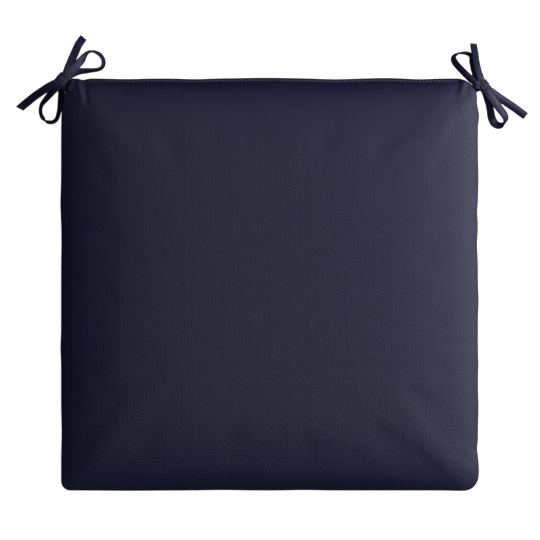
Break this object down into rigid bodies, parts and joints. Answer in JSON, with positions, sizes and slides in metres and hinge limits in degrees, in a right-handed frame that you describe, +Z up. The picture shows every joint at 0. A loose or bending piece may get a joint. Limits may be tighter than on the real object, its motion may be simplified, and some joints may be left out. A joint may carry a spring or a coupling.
{
  "type": "patio chair cushion",
  "caption": "Square knife-edge seat cushion in dark canvas with a crowned face, rounded corners, a topstitched back edge and a bow tie at each back corner.",
  "frame": {"origin": "the middle of the flat underside that the cushion rests on", "axes": "+Z is up, out of the crowned face; +Y is the back edge, where the ties are; +X is the right-hand side as the face is looked at with the back edge at the top"},
  "size_m": [0.6271, 0.557, 0.0758],
  "materials": {
    "cushion_canvas": "dark navy plain-weave outdoor canvas, matt, with a faint sheen at low angles",
    "tie_canvas": "the same canvas folded into a flat tape and edge-stitched"
  },
  "bodies": {
    "root": {"cushion": "cushion_canvas", "tie_left": "tie_canvas", "tie_right": "tie_canvas"}
  },
  "joints": []
}
